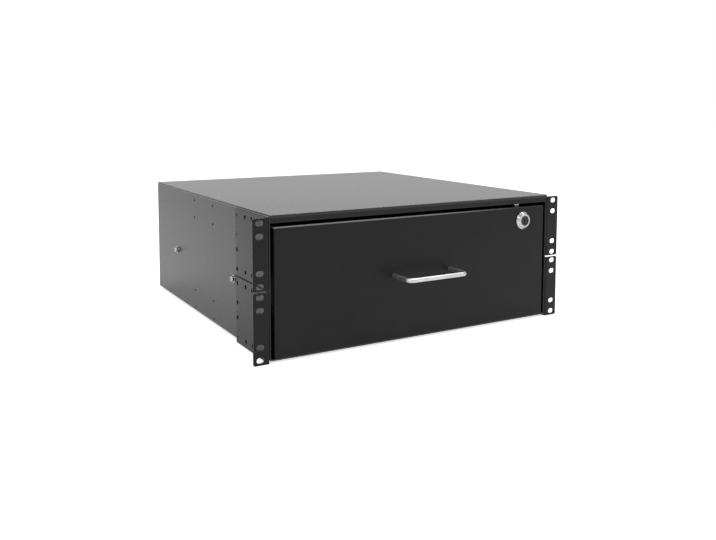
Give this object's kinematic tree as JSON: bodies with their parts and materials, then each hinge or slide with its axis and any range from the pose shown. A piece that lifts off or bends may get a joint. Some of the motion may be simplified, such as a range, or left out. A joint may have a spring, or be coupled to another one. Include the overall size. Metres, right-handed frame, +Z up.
{
  "type": "lockable sliding rack drawer",
  "caption": "Lockable drawer for a 19-inch rack, with a folded steel case, bolt-on L-shaped rack ears, a wire pull and a key lock, running on full-extension ball slides.",
  "frame": {"origin": "centre of the rack hole pattern, in the plane of the ears' rear faces, which seat on the rack rails", "axes": "+X to the right seen from the front, +Y to the rear, into the rack, +Z up"},
  "size_m": [0.4826, 0.5026, 0.18],
  "materials": {
    "case_paint": "black powder coat, fine texture",
    "ear_paint": "black powder coat, fine texture",
    "drawer_paint": "black powder coat, fine texture",
    "black_steel": "black oxide",
    "zinc_plate": "bright zinc plate",
    "cage_steel": "plain stamped strip",
    "ball_steel": "polished bearing steel",
    "chrome_plate": "bright chrome plate",
    "plug_metal": "dull nickel plate",
    "buffer_rubber": "moulded",
    "lever_plastic": "moulded"
  },
  "bodies": {
    "case": {"case_shell": "case_paint", "top_cover": "case_paint", "front_header": "case_paint", "rear_panel": "case_paint", "rear_screws": "black_steel", "ear_upper_left": "ear_paint", "ear_lower_left": "ear_paint", "ear_upper_right": "ear_paint", "ear_lower_right": "ear_paint", "ear_screws": "black_steel", "ear_nuts": "zinc_plate", "slide_screws": "chrome_plate", "slide_outer_left": "zinc_plate", "slide_outer_right": "zinc_plate", "slide_buffers": "buffer_rubber", "lock_strike": "zinc_plate", "strike_screws": "zinc_plate"},
    "drawer": {"drawer_tray": "drawer_paint", "drawer_front": "drawer_paint", "front_rivets": "zinc_plate", "handle": "chrome_plate", "handle_screws": "zinc_plate", "lock_body": "chrome_plate", "lock_nut": "zinc_plate", "slide_inner_left": "zinc_plate", "slide_inner_right": "zinc_plate", "tray_screws": "zinc_plate", "lever_pins": "zinc_plate"},
    "lock_core": {"lock_plug": "plug_metal", "lock_cam": "zinc_plate", "cam_screw": "zinc_plate"},
    "middle_left": {"slide_middle_left": "zinc_plate"},
    "outer_cage_left": {"cage_outer_left": "cage_steel", "balls_outer_left": "ball_steel"},
    "inner_cage_left": {"cage_inner_left": "cage_steel", "balls_inner_left": "ball_steel"},
    "lever_left": {"release_lever_left": "lever_plastic"},
    "middle_right": {"slide_middle_right": "zinc_plate"},
    "outer_cage_right": {"cage_outer_right": "cage_steel", "balls_outer_right": "ball_steel"},
    "inner_cage_right": {"cage_inner_right": "cage_steel", "balls_inner_right": "ball_steel"},
    "lever_right": {"release_lever_right": "lever_plastic"}
  },
  "joints": [
    {"name": "drawer_slide", "type": "slide", "parent": "case", "child": "drawer", "axis": [0, -1, 0], "range_m": [0, 0.4]},
    {"name": "lock_turn", "type": "hinge", "parent": "drawer", "child": "lock_core", "pos_m": [0.1743, 0, 0.0567], "axis": [0, 1, 0], "range_deg": [0, 90]},
    {"name": "outer_cage_left_slide", "type": "slide", "parent": "case", "child": "outer_cage_left", "axis": [0, -1, 0], "range_m": [0, 0.1]},
    {"name": "middle_left_slide", "type": "slide", "parent": "case", "child": "middle_left", "axis": [0, -1, 0], "range_m": [0, 0.2]},
    {"name": "inner_cage_left_slide", "type": "slide", "parent": "case", "child": "inner_cage_left", "axis": [0, -1, 0], "range_m": [0, 0.3]},
    {"name": "lever_left_turn", "type": "hinge", "parent": "drawer", "child": "lever_left", "pos_m": [-0.2089, 0.207, -0.0065], "axis": [-1, 0, 0], "range_deg": [0, 4], "stiffness_Nm_per_rad": 0.05},
    {"name": "outer_cage_right_slide", "type": "slide", "parent": "case", "child": "outer_cage_right", "axis": [0, -1, 0], "range_m": [0, 0.1]},
    {"name": "middle_right_slide", "type": "slide", "parent": "case", "child": "middle_right", "axis": [0, -1, 0], "range_m": [0, 0.2]},
    {"name": "inner_cage_right_slide", "type": "slide", "parent": "case", "child": "inner_cage_right", "axis": [0, -1, 0], "range_m": [0, 0.3]},
    {"name": "lever_right_turn", "type": "hinge", "parent": "drawer", "child": "lever_right", "pos_m": [0.2089, 0.207, -0.0065], "axis": [1, 0, 0], "range_deg": [0, 4], "stiffness_Nm_per_rad": 0.05}
  ],
  "couplings": [
    {"joint": "outer_cage_left_slide", "follows": "drawer_slide", "ratio": 0.25},
    {"joint": "middle_left_slide", "follows": "drawer_slide", "ratio": 0.5},
    {"joint": "inner_cage_left_slide", "follows": "drawer_slide", "ratio": 0.75},
    {"joint": "outer_cage_right_slide", "follows": "drawer_slide", "ratio": 0.25},
    {"joint": "middle_right_slide", "follows": "drawer_slide", "ratio": 0.5},
    {"joint": "inner_cage_right_slide", "follows": "drawer_slide", "ratio": 0.75}
  ]
}
